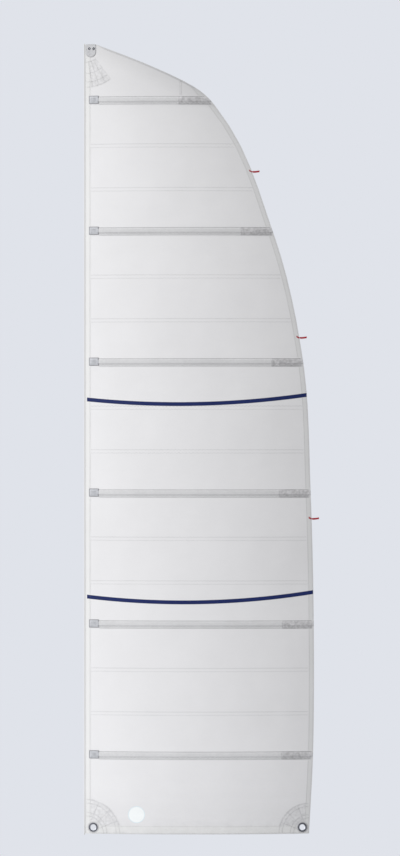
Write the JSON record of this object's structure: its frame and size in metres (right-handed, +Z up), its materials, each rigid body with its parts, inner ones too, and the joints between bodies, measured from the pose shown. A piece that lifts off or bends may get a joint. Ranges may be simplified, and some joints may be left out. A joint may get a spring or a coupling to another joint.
{
  "type": "catamaran mainsail",
  "caption": "Fully battened mainsail of a small beach catamaran: lapped cloth panels, edge tapes, bolt rope, batten pockets, corner rings, headboard, draft stripes and telltales.",
  "frame": {"origin": "on the bolt rope's axis at the height of the foot", "axes": "+X aft from the luff to the leech, +Y to starboard, +Z up the luff; the belly and the batten pockets are on the port side, -Y"},
  "size_m": [2.2553, 0.2064, 7.594],
  "materials": {
    "sailcloth": "white woven polyester sailcloth, resin finished, slightly glossy",
    "edge_tape": "white folded polyester tape, sewn on",
    "pocket_tape": "heavier off-white webbing cloth, sewn along both edges",
    "patch_cloth": "layered sailcloth",
    "rope": "white laid polyester rope",
    "luff_end_plastic": "grey moulded nylon",
    "cap_plastic": "light grey moulded nylon",
    "batten_glass": "pultruded glass fibre",
    "stainless_ring": "pressed stainless steel",
    "dark_eye": "dark pressed steel",
    "headboard_plate": "light anodised plate",
    "draft_stripe": "dark blue adhesive cloth tape",
    "telltale_ribbon": "red spinnaker cloth ribbon"
  },
  "bodies": {
    "bolt_rope": {"bolt_rope": "rope"},
    "sail": {"luff_tape": "edge_tape", "leech_tape": "edge_tape", "foot_tape": "edge_tape", "tack_patch": "patch_cloth", "clew_patch": "patch_cloth", "head_patch": "patch_cloth", "roach_patch": "patch_cloth", "tack_ring": "stainless_ring", "clew_ring": "stainless_ring", "headboard_port": "headboard_plate", "headboard_starboard": "headboard_plate", "headboard_eye_fore": "dark_eye", "headboard_eye_aft": "dark_eye", "draft_stripe_lower": "draft_stripe", "draft_stripe_upper": "draft_stripe", "panel_01": "sailcloth", "panel_02": "sailcloth", "panel_03": "sailcloth", "panel_04": "sailcloth", "panel_05": "sailcloth", "panel_06": "sailcloth", "panel_07": "sailcloth", "panel_08": "sailcloth", "panel_09": "sailcloth", "panel_10": "sailcloth", "panel_11": "sailcloth", "panel_12": "sailcloth", "panel_13": "sailcloth", "panel_14": "sailcloth", "panel_15": "sailcloth", "panel_16": "sailcloth", "panel_17": "sailcloth", "batten_pocket_1": "pocket_tape", "luff_end_1": "luff_end_plastic", "batten_pocket_2": "pocket_tape", "luff_end_2": "luff_end_plastic", "batten_pocket_3": "pocket_tape", "luff_end_3": "luff_end_plastic", "batten_pocket_4": "pocket_tape", "luff_end_4": "luff_end_plastic", "batten_pocket_5": "pocket_tape", "luff_end_5": "luff_end_plastic", "batten_pocket_6": "pocket_tape", "luff_end_6": "luff_end_plastic"},
    "batten_1": {"batten_1": "batten_glass", "batten_cap_1": "cap_plastic"},
    "batten_2": {"batten_2": "batten_glass", "batten_cap_2": "cap_plastic"},
    "batten_3": {"batten_3": "batten_glass", "batten_cap_3": "cap_plastic"},
    "batten_4": {"batten_4": "batten_glass", "batten_cap_4": "cap_plastic"},
    "batten_5": {"batten_5": "batten_glass", "batten_cap_5": "cap_plastic"},
    "batten_6": {"batten_6": "batten_glass", "batten_cap_6": "cap_plastic"},
    "telltale_low": {"telltale_low": "telltale_ribbon"},
    "telltale_mid": {"telltale_mid": "telltale_ribbon"},
    "telltale_high": {"telltale_high": "telltale_ribbon"}
  },
  "joints": [
    {"name": "sail_swing", "type": "hinge", "parent": "bolt_rope", "child": "sail", "pos_m": [0, 0, 0], "axis": [0, 0, 1], "range_deg": [-80, 80]},
    {"name": "batten_1_draw", "type": "hinge", "parent": "sail", "child": "batten_1", "pos_m": [1.1273, 4.11668, 0.7615], "axis": [0, 0, 1], "range_deg": [0, 29.3]},
    {"name": "batten_2_draw", "type": "hinge", "parent": "sail", "child": "batten_2", "pos_m": [1.18, 4.00014, 2.0175], "axis": [0, 0, 1], "range_deg": [0, 30.1]},
    {"name": "batten_3_draw", "type": "hinge", "parent": "sail", "child": "batten_3", "pos_m": [1.21191, 3.88127, 3.2735], "axis": [0, 0, 1], "range_deg": [0, 30.5]},
    {"name": "batten_4_draw", "type": "hinge", "parent": "sail", "child": "batten_4", "pos_m": [1.21994, 3.76094, 4.5295], "axis": [0, 0, 1], "range_deg": [0, 30.3]},
    {"name": "batten_5_draw", "type": "hinge", "parent": "sail", "child": "batten_5", "pos_m": [1.09556, 3.30228, 5.7855], "axis": [0, 0, 1], "range_deg": [0, 29.6]},
    {"name": "batten_6_draw", "type": "hinge", "parent": "sail", "child": "batten_6", "pos_m": [0.76813, 2.28398, 7.0415], "axis": [0, 0, 1], "range_deg": [0, 28.4]},
    {"name": "telltale_low_fly", "type": "hinge", "parent": "sail", "child": "telltale_low", "pos_m": [2.1833, -0.06481, 3.023], "axis": [0, 0, 1], "range_deg": [-120, 120]},
    {"name": "telltale_mid_fly", "type": "hinge", "parent": "sail", "child": "telltale_mid", "pos_m": [2.06521, -0.09739, 4.758], "axis": [0, 0, 1], "range_deg": [-120, 120]},
    {"name": "telltale_high_fly", "type": "hinge", "parent": "sail", "child": "telltale_high", "pos_m": [1.61171, -0.10103, 6.349], "axis": [0, 0, 1], "range_deg": [-120, 120]}
  ]
}
